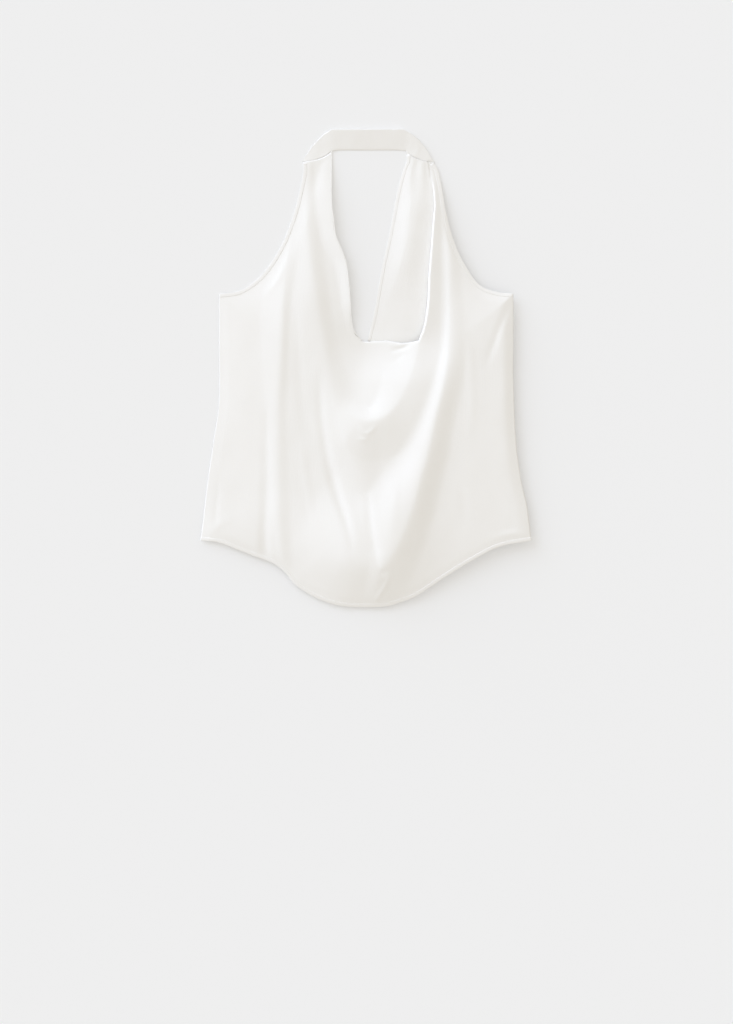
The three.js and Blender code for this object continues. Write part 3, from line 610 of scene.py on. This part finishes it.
# The facing as it lies, but under the front where the crest and the bowl cover it.
def facingHeight(x, y):
    across, height = acrossFacing(x, y), facingLie(x, y)
    covered = underFront(np.maximum(x, facingRim(y) - facing["under"]), y, facing["crestGap"])
    height = mix(height, np.minimum(covered, height), rises(across, *facing["crestFrom"]))
    rimY = np.full(x.shape, front["bowlY"] - facing["bowlBelow"])
    bowlUnder = underFront(np.clip(x, *facing["bowlSpan"]), rimY, facing["bowlGap"])
    above, reach = facing["bowlTop"]
    nearBowl = fades(y, front["bowlY"] + above, reach)
    height = mix(height, np.minimum(bowlUnder, height + facing["bowlRise"]), nearBowl)
    hiddenY = np.minimum(y, front["bowlY"] - facing["hiddenBelow"])
    hidden = underFront(x, hiddenY, facing["bowlGap"])
    return np.where(y < front["bowlY"] + facing["hiddenBelow"], np.minimum(height, hidden), height)


def makeFacing():
    rowY = np.linspace(front["seamY"], facing["tailY"], facing["down"] + 1)
    rim = np.stack([facingRim(rowY), rowY], axis=1)
    t = np.linspace(0, 1, facing["across"] + 1)[None, :, None]
    plan = freeEdge[:, None, :] * (1 - t) + rim[:, None, :] * t
    shift = yAt(lines["rightSeam"], plan[0, :, 0]) - front["seamGap"] - plan[0, :, 1]
    k = np.arange(facing["down"] + 1)[:, None]
    plan[:, :, 1] += shift * smooth(1 - k / front["seamRows"])
    place = laidOn(plan, facingHeight)
    obj = clothGrid("cowlFacing", facing["across"], facing["down"], place, facing["thick"])
    return belongs(obj, "cowl_facing")


# The back lies flat under the front, scooped between the arms and lifted a little at its rim.
back = {
    "across": 80, "down": 60, "sideSteps": 100, "inset": 3.2, "hemShort": 3.6, "top": 0.72, "thick": 0.5,
    "scoopY": -14.0, "armX": 221.0, "armY": 110.4, "wave": 0.08, "waveSize": (70, 90), "wavePlace": 3.0,
    "raised": 0.8, "raisedReach": 30,
}


def backTop(x):
    return mix(back["scoopY"], back["armY"], (x / back["armX"]) ** 2)


def makeBack():
    def place(u, v):
        at, k = v * back["sideSteps"], np.arange(back["sideSteps"] + 1)
        sides = (smoothLine(outline[side], len(k))[:, 0] for side in ("leftSide", "rightSide"))
        leftX, rightX = (np.interp(at, k, side) for side in sides)
        x = mix(leftX + back["inset"], rightX - back["inset"], u)
        y = mix(backTop(x), yAt(lines["hem"], x) + back["hemShort"], v)
        sizeX, sizeY = back["waveSize"]
        wave = [noise.noise(Vector((px / sizeX, py / sizeY, back["wavePlace"]))) for px, py in zip(x, y)]
        rim = np.min([distance(line, x, y) for line in (leftEdge, rightEdge, lines["hem"])], axis=0)
        lifted = back["raised"] * front["hover"] * standing(x, y) * (1 - smooth(rim / back["raisedReach"]))
        return x, y, back["top"] + back["wave"] * np.array(wave) + lifted

    return belongs(clothGrid("backPanel", back["across"], back["down"], place, back["thick"]), "back")


# The band is a strip of doubled cloth. outer has rows of its outer edge and the height there, and
# inner has rows of its inner edge, which lies free between the straps.
band = {
    "across": 24, "along": 170, "innerRise": 0.62, "underside": 0.2, "seamBelow": 1.0,
    "freeFrom": (-51, 14), "freeTo": (59.5, 14),
    "crown": 0.35, "crownShare": 0.08, "crownFrom": (-56, 10), "crownTo": (64, 8),
    "ripples": [(0.3, 15, 24, 8.0), (0.1, 5, 9, 2.0)],  # height, size across and down, place
    "rippleShare": 0.15,
    "outer": [
        (-95, 310.5, 0.9), (-89, 320, 0.9), (-82, 331, 1.0), (-73, 341, 1.1), (-64, 350, 1.6),
        (-52, 358, 3.4), (-20, 358, 4.4), (20, 358, 4.6), (56, 358, 4.8), (69, 351, 4.4), (81, 341, 3.8),
        (92, 327, 3.0), (99.5, 313, 2.2), (103, 309.5, 1.6)],
    "inner": [
        (-93, 310.2), (-82, 311.5), (-74, 313.2), (-61, 318), (-51, 325.5), (-40, 327), (-15, 327),
        (20, 327), (48, 327), (59.5, 326), (69, 318), (81, 313), (91, 310.6), (102.5, 309.2)],
}


# Top of the band along its inner edge: level with the straps at their seams, low between them.
def bandInner(x, y):
    seamY = y - band["seamBelow"]
    overFacing = (x >= 0) & (x < xAt(columns["firstDrape"], y))
    seam = np.where(overFacing, facingHeight(x, seamY), frontHeight(x, seamY))
    free = rises(x, *band["freeFrom"]) * fades(x, *band["freeTo"])
    return mix(seam, band["innerRise"], free)


# Place and height on the band, by the share along it and the share in from its outer edge.
def bandPlace(along, inwards):
    at, k = along * (len(band["outer"]) - 1), np.arange(len(band["outer"]))
    outer, inner = (np.stack([np.interp(at, k, row) for row in np.array(band[key], float).T])
                    for key in ("outer", "inner"))
    x, y = mix(outer[:2], inner, inwards)
    free = rises(inner[0], *band["crownFrom"]) * fades(inner[0], *band["crownTo"])
    crown = band["crown"] * free * np.clip(1 - (1 - inwards) / band["crownShare"], 0, 1) ** 2
    ripple = [sum(height * noise.noise(Vector((px / sizeX, py / sizeY, place)))
                  for height, sizeX, sizeY, place in band["ripples"]) for px, py in zip(x, y)]
    ripple = np.array(ripple) * smooth((1 - inwards) / band["rippleShare"])
    return x, y, mix(outer[2], bandInner(*inner), inwards) - crown + ripple


def makeBand():
    bm, u, v = shareGrid(band["along"], band["across"])
    for vert, *place in zip(bm.verts, *bandPlace(u, v)):
        vert.co = Vector(place) * mm
    under = bmesh.ops.extrude_face_region(bm, geom=list(bm.faces))
    for vert in [g for g in under["geom"] if isinstance(g, bmesh.types.BMVert)]:
        vert.co.z = band["underside"] * mm
    bmesh.ops.recalc_face_normals(bm, faces=bm.faces)
    return belongs(meshObject("neckBand", bm), "neckband")


# Turned and sewn edges, each a narrow strip with rows of the distance in from the edge and the
# height over the cloth. The strip starts under the cloth and wraps round its edge.
edgeProfiles = {
    "hem": [
        (1.2, -0.8), (0.0, -0.8), (-0.22, -0.45), (-0.26, 0.0), (-0.14, 0.2), (0.4, 0.34), (1.6, 0.42),
        (3.2, 0.36), (4.3, 0.24), (5.3, -0.06)],
    "binding": [
        (1.2, -0.8), (0.0, -0.8), (-0.2, -0.45), (-0.22, 0.0), (-0.12, 0.12), (0.5, 0.18), (2.4, 0.2),
        (4.4, 0.17), (5.7, -0.06)],
    "facingHem": [
        (1.0, -0.55), (0.0, -0.55), (-0.18, -0.3), (-0.18, 0.05), (0.0, 0.14), (1.2, 0.19), (3.0, 0.19),
        (4.1, 0.16), (5.0, -0.06)],
    "neckTurn": [
        (7.0, -0.9), (1.2, -0.88), (0.0, -0.78), (-0.3, -0.4), (-0.3, -0.05), (0.0, 0.14), (1.0, 0.18)],
}
edgeThick, edgeLeast = 0.14, 0.2


def edgeStrip(name, profile, line, side, heightAt):
    inward = squareTo(line, side)
    across = np.array(edgeProfiles[profile])

    def place(u, v):
        at = np.rint(u * (len(line) - 1)).astype(int)
        k = np.rint(v * (len(across) - 1)).astype(int)
        on = line[at] + inward[at] * np.maximum(across[k, 0], edgeLeast)[:, None]
        x, y = (line[at] + inward[at] * across[k, 0][:, None]).T
        return x, y, np.maximum(heightAt(on[:, 0], on[:, 1]) + across[k, 1], edgeLeast)

    return belongs(clothGrid(name, len(line) - 1, len(across) - 1, place, edgeThick))


# A row of stitches along a line: each is a short slim bead of thread, sunk a little into the cloth.
# Seams have a distance in from the edge and a height over the cloth. Tacks have the share along the
# band where they cross it and the shares in that they run between, and bandSeams run between two
# shares along it.
thread = {
    "length": 2.2, "pitch": 3.1, "width": 0.36, "height": 0.18,
    "hem": (4.1, 0.28), "armhole": (4.4, 0.18), "facing": (3.7, 0.18), "band": (0.0, 0.08),
    "tacks": [(0.374, 0.3, 0.98), (0.392, 0.36, 0.98), (0.628, 0.3, 0.98), (0.645, 0.34, 0.98)],
    "bandSeams": [(0.02, 0.3), (0.7, 0.98)], "bandSeamAcross": 0.93,
}


def stitchRow(bm, line, side, seam, heightAt):
    inset, rise = thread[seam]
    path = line + inset * squareTo(line, side)
    height = heightAt(path[:, 0], path[:, 1]) + rise
    far = np.concatenate([[0], np.cumsum(np.hypot(*(path[1:] - path[:-1]).T))])
    middles = np.arange(thread["pitch"], far[-1] - thread["pitch"], thread["pitch"])
    ends = []
    for shift in (-0.5, 0.5):
        at = middles + shift * thread["length"]
        ends.append(np.stack([np.interp(at, far, row) for row in (path[:, 0], path[:, 1], height)], axis=1))
    for start, stop in zip(*ends):
        along = Vector(stop - start)
        across = along.cross(Vector((0, 0, 1))).normalized() * thread["width"]
        up = across.cross(along).normalized() * thread["height"]
        turn = Matrix((along, across, up)).transposed().to_4x4()
        place = Matrix.Translation(Vector((start + stop) / 2) * mm) @ Matrix.Scale(mm, 4) @ turn
        bmesh.ops.create_icosphere(bm, subdivisions=1, radius=0.5, matrix=place)


def makeStitches(name, seams):
    bm = bmesh.new()
    for line, side, seam, heightAt in seams:
        stitchRow(bm, line, side, seam, heightAt)
    bmesh.ops.recalc_face_normals(bm, faces=bm.faces)
    return belongs(meshObject(name, bm))


# Sewing on the band itself, between two places given as shares along and inwards.
def bandSeam(fromAlong, toAlong, fromIn, toIn, count):
    x, y, z = bandPlace(np.linspace(fromAlong, toAlong, count), np.linspace(fromIn, toIn, count))
    return np.stack([x, y], axis=1), 1, "band", lambda px, py: z


satin = {
    "color": (0.918, 0.904, 0.878), "shade": (0.89, 0.872, 0.84), "roughness": (0.34, 0.47),
    "gloss": 0.3, "sheen": 0.1, "sheenRoughness": 0.35,
    "threads": 620.0, "weave": 0.35, "weaveDepth": 0.00004,
    "warp": {"Distortion": 0.4, "Detail": 1.0}, "weft": {"Distortion": 0.6, "Detail": 1.0},
    "streakNoise": {"Scale": 55.0, "Detail": 4.0, "Roughness": 0.6}, "streakRange": (0.3, 0.7),
    "streakLength": 9.0, "streaks": 0.5, "streakDepth": 0.00022,
    "patchNoise": {"Scale": 16.0, "Detail": 3.0, "Roughness": 0.55}, "patchRange": (0.25, 0.6),
    "patchShade": (0.55, 1.0),
    "facingGrain": 0.18, "bandGrain": math.pi / 2,
}
sewing = {
    "color": (0.90, 0.888, 0.86), "roughness": (0.4, 0.5), "bump": 0.4, "bumpDepth": 0.0001,
    "twist": {"Scale": 2400.0, "Detail": 2.0},
}


def newMaterial(name):
    material = bpy.data.materials.new(name)
    material.use_nodes = True
    return material, material.node_tree.nodes, material.node_tree.links


def addNode(nodes, kind, **inputs):
    node = nodes.new(kind)
    for key, value in inputs.items():
        node.inputs[key].default_value = value
    return node


# Turns one range of values into another.
def addRange(nodes, given, wanted):
    ends = {"From Min": given[0], "From Max": given[1], "To Min": wanted[0], "To Max": wanted[1]}
    return addNode(nodes, "ShaderNodeMapRange", **ends)


def addMath(nodes, operation):
    node = nodes.new("ShaderNodeMath")
    node.operation = operation
    return node


# Fine cloth: threads along the grain, soft streaks where they catch the light, and slow variation.
def clothGroup():
    group = bpy.data.node_groups.new("clothGrain", "ShaderNodeTree")
    group.interface.new_socket("Vector", in_out="INPUT", socket_type="NodeSocketVector")
    group.interface.new_socket("Threads", in_out="INPUT", socket_type="NodeSocketFloat")
    for name in ("Weave", "Streaks", "Patches"):
        group.interface.new_socket(name, in_out="OUTPUT", socket_type="NodeSocketFloat")
    nodes, links = group.nodes, group.links
    given, result = nodes.new("NodeGroupInput"), nodes.new("NodeGroupOutput")
    warp = addNode(nodes, "ShaderNodeTexWave", **satin["warp"])
    weft = addNode(nodes, "ShaderNodeTexWave", **satin["weft"])
    weft.bands_direction = "Y"
    both = addMath(nodes, "MULTIPLY")
    links.new(given.outputs["Threads"], warp.inputs["Scale"])
    links.new(given.outputs["Threads"], weft.inputs["Scale"])
    for wave in (warp, weft):
        links.new(given.outputs["Vector"], wave.inputs["Vector"])
    links.new(warp.outputs["Fac"], both.inputs[0])
    links.new(weft.outputs["Fac"], both.inputs[1])
    stretch = addNode(nodes, "ShaderNodeMapping", Scale=(satin["streakLength"], 1.0, 1.0))
    streaks = addNode(nodes, "ShaderNodeTexNoise", **satin["streakNoise"])
    patches = addNode(nodes, "ShaderNodeTexNoise", **satin["patchNoise"])
    links.new(given.outputs["Vector"], stretch.inputs["Vector"])
    links.new(stretch.outputs["Vector"], streaks.inputs["Vector"])
    links.new(given.outputs["Vector"], patches.inputs["Vector"])
    links.new(both.outputs[0], result.inputs["Weave"])
    links.new(streaks.outputs["Fac"], result.inputs["Streaks"])
    links.new(patches.outputs["Fac"], result.inputs["Patches"])
    return group


# Satin, with its grain turned to the way that the piece was cut.
def makeSatin(name, group, turn=0.0):
    material, nodes, links = newMaterial(name)
    shader = nodes["Principled BSDF"]
    place = nodes.new("ShaderNodeTexCoord")
    grain = addNode(nodes, "ShaderNodeMapping", Rotation=(0, 0, turn))
    weave = nodes.new("ShaderNodeGroup")
    weave.node_tree = group
    weave.inputs["Threads"].default_value = satin["threads"]
    links.new(place.outputs["Object"], grain.inputs["Vector"])
    links.new(grain.outputs["Vector"], weave.inputs["Vector"])

    tint = nodes.new("ShaderNodeMix")
    tint.data_type = "RGBA"
    tint.inputs["A"].default_value = (*satin["shade"], 1)
    tint.inputs["B"].default_value = (*satin["color"], 1)
    spread = addRange(nodes, satin["patchRange"], satin["patchShade"])
    links.new(weave.outputs["Patches"], spread.inputs["Value"])
    links.new(spread.outputs["Result"], tint.inputs["Factor"])
    links.new(tint.outputs["Result"], shader.inputs["Base Color"])

    gloss = addRange(nodes, satin["streakRange"], satin["roughness"])
    links.new(weave.outputs["Streaks"], gloss.inputs["Value"])
    links.new(gloss.outputs["Result"], shader.inputs["Roughness"])

    fine = addNode(nodes, "ShaderNodeBump", Strength=satin["weave"], Distance=satin["weaveDepth"])
    soft = addNode(nodes, "ShaderNodeBump", Strength=satin["streaks"], Distance=satin["streakDepth"])
    links.new(weave.outputs["Weave"], fine.inputs["Height"])
    links.new(weave.outputs["Streaks"], soft.inputs["Height"])
    links.new(fine.outputs["Normal"], soft.inputs["Normal"])
    links.new(soft.outputs["Normal"], shader.inputs["Normal"])
    shader.inputs["Specular IOR Level"].default_value = satin["gloss"]
    shader.inputs["Sheen Weight"].default_value = satin["sheen"]
    shader.inputs["Sheen Roughness"].default_value = satin["sheenRoughness"]
    return material


def makeThreadMaterial():
    material, nodes, links = newMaterial("sewingThread")
    shader = nodes["Principled BSDF"]
    place = nodes.new("ShaderNodeTexCoord")
    twist = addNode(nodes, "ShaderNodeTexNoise", **sewing["twist"])
    gloss = addRange(nodes, (0.0, 1.0), sewing["roughness"])
    bump = addNode(nodes, "ShaderNodeBump", Strength=sewing["bump"], Distance=sewing["bumpDepth"])
    links.new(place.outputs["Object"], twist.inputs["Vector"])
    links.new(twist.outputs["Fac"], gloss.inputs["Value"])
    links.new(twist.outputs["Fac"], bump.inputs["Height"])
    links.new(gloss.outputs["Result"], shader.inputs["Roughness"])
    links.new(bump.outputs["Normal"], shader.inputs["Normal"])
    shader.inputs["Base Color"].default_value = (*sewing["color"], 1)
    return material


# The floor glows a little, like a lit white table, which keeps the shadows light. The light is an
# even dome with a broad low window in it. Camera and floor are in metres.
stage = {
    "floorSize": 4.0, "floorZ": -0.0002, "floorColor": 0.70, "floorGlow": 0.208, "floorRoughness": 0.9,
    "speckle": {"Scale": 900.0, "Detail": 2.0}, "tooth": 0.1, "toothDepth": 0.0002,
    "domeLight": (0.783, 0.7595, 0.715),
    "windowLight": (4.63, 5.34, 6.68), "windowWidth": 8.0, "windowFrom": (-0.69, 0.67, 0.05),
    "cameraAt": (0.0011, -0.2156, 3.627), "lens": 85, "sensor": 36,
}


def makeFloor():
    bm = bmesh.new()
    bmesh.ops.create_grid(bm, x_segments=2, y_segments=2, size=stage["floorSize"])
    floor = meshObject("floor", bm)
    floor.location.z = stage["floorZ"]
    material, nodes, links = newMaterial("floorPaint")
    paint = nodes["Principled BSDF"]
    place = nodes.new("ShaderNodeTexCoord")
    speckle = addNode(nodes, "ShaderNodeTexNoise", **stage["speckle"])
    tooth = addNode(nodes, "ShaderNodeBump", Strength=stage["tooth"], Distance=stage["toothDepth"])
    links.new(place.outputs["Object"], speckle.inputs["Vector"])
    links.new(speckle.outputs["Fac"], tooth.inputs["Height"])
    links.new(tooth.outputs["Normal"], paint.inputs["Normal"])
    paint.inputs["Base Color"].default_value = (*[stage["floorColor"]] * 3, 1)
    paint.inputs["Roughness"].default_value = stage["floorRoughness"]
    paint.inputs["Specular IOR Level"].default_value = 0.0
    paint.inputs["Emission Color"].default_value = (*[stage["floorGlow"]] * 3, 1)
    paint.inputs["Emission Strength"].default_value = 1.0
    floor.data.materials.append(material)


def makeLight():
    world = bpy.data.worlds.new("studio")
    world.use_nodes = True
    nodes, links = world.node_tree.nodes, world.node_tree.links
    place = nodes.new("ShaderNodeTexCoord")
    towards = nodes.new("ShaderNodeVectorMath")
    towards.operation = "DOT_PRODUCT"
    towards.inputs[1].default_value = Vector(stage["windowFrom"]).normalized()
    positive = addMath(nodes, "MAXIMUM")
    positive.inputs[1].default_value = 0
    lobe = addMath(nodes, "POWER")
    lobe.use_clamp = True
    lobe.inputs[1].default_value = stage["windowWidth"]
    level = nodes.new("ShaderNodeVectorMath")
    level.operation = "MULTIPLY_ADD"
    level.inputs[1].default_value = stage["windowLight"]
    level.inputs[2].default_value = stage["domeLight"]
    links.new(place.outputs["Object"], towards.inputs[0])
    links.new(towards.outputs["Value"], positive.inputs[0])
    links.new(positive.outputs[0], lobe.inputs[0])
    links.new(lobe.outputs[0], level.inputs[0])
    links.new(level.outputs["Vector"], nodes["Background"].inputs["Color"])
    bpy.context.scene.world = world


def makeCamera():
    lens = bpy.data.cameras.new("camera")
    lens.lens = stage["lens"]
    lens.sensor_width = stage["sensor"]
    camera = bpy.data.objects.new("camera", lens)
    camera.location = stage["cameraAt"]
    bpy.context.scene.collection.objects.link(camera)
    bpy.context.scene.camera = camera


grainGroup = clothGroup()
satinFront = makeSatin("satinFront", grainGroup)
satinFacing = makeSatin("satinFacing", grainGroup, turn=satin["facingGrain"])
satinBand = makeSatin("satinBand", grainGroup, turn=satin["bandGrain"])
threadFinish = makeThreadMaterial()


def finish(obj, material):
    obj.data.materials.append(material)
    return obj


frontPanel = finish(makeFront(), satinFront)
cowlFacing = finish(makeFacing(), satinFacing)
backPanel = finish(makeBack(), satinFront)
neckBand = finish(makeBand(), satinBand)
print("panels made")

hemLine = smoothLine(outline["hem"], steps["hem"])
armLeft = smoothLine(outline["leftArmhole"], steps["armhole"])
armRight = smoothLine(outline["rightArmhole"], steps["armhole"])
freeLine = freeEdge[2:-14:2]  # from just below the band to where the bowl covers it
neckLine = smoothLine(neckLeft[::6], steps["neck"])
hem = finish(edgeStrip("hemRoll", "hem", hemLine, 1, frontHeight), satinFront)
bindLeft = finish(edgeStrip("armBindingLeft", "binding", armLeft, 1, frontHeight), satinFront)
bindRight = finish(edgeStrip("armBindingRight", "binding", armRight, -1, frontHeight), satinFront)
facingHem = finish(edgeStrip("facingHem", "facingHem", freeLine, 1, facingHeight), satinFacing)
neckTurn = finish(edgeStrip("neckTurn", "neckTurn", neckLine, -1, frontHeight), satinFront)
print("edges turned")

armSeams = [(armLeft, 1, "armhole", frontHeight), (armRight, -1, "armhole", frontHeight)]
bandSeams = [bandSeam(along, along, start, stop, steps["tack"]) for along, start, stop in thread["tacks"]]
bandSeams += [bandSeam(start, stop, thread["bandSeamAcross"], thread["bandSeamAcross"], steps["band"])
              for start, stop in thread["bandSeams"]]
hemThread = finish(makeStitches("hemThread", [(hemLine, 1, "hem", frontHeight)]), threadFinish)
armThread = finish(makeStitches("armThread", armSeams), threadFinish)
facingThread = finish(makeStitches("facingThread", [(freeLine, 1, "facing", facingHeight)]), threadFinish)
bandThread = finish(makeStitches("bandThread", bandSeams), threadFinish)
print("stitches laid")

bpy.context.scene.view_settings.view_transform = "Standard"
makeFloor()
makeLight()
makeCamera()
print("stage set")
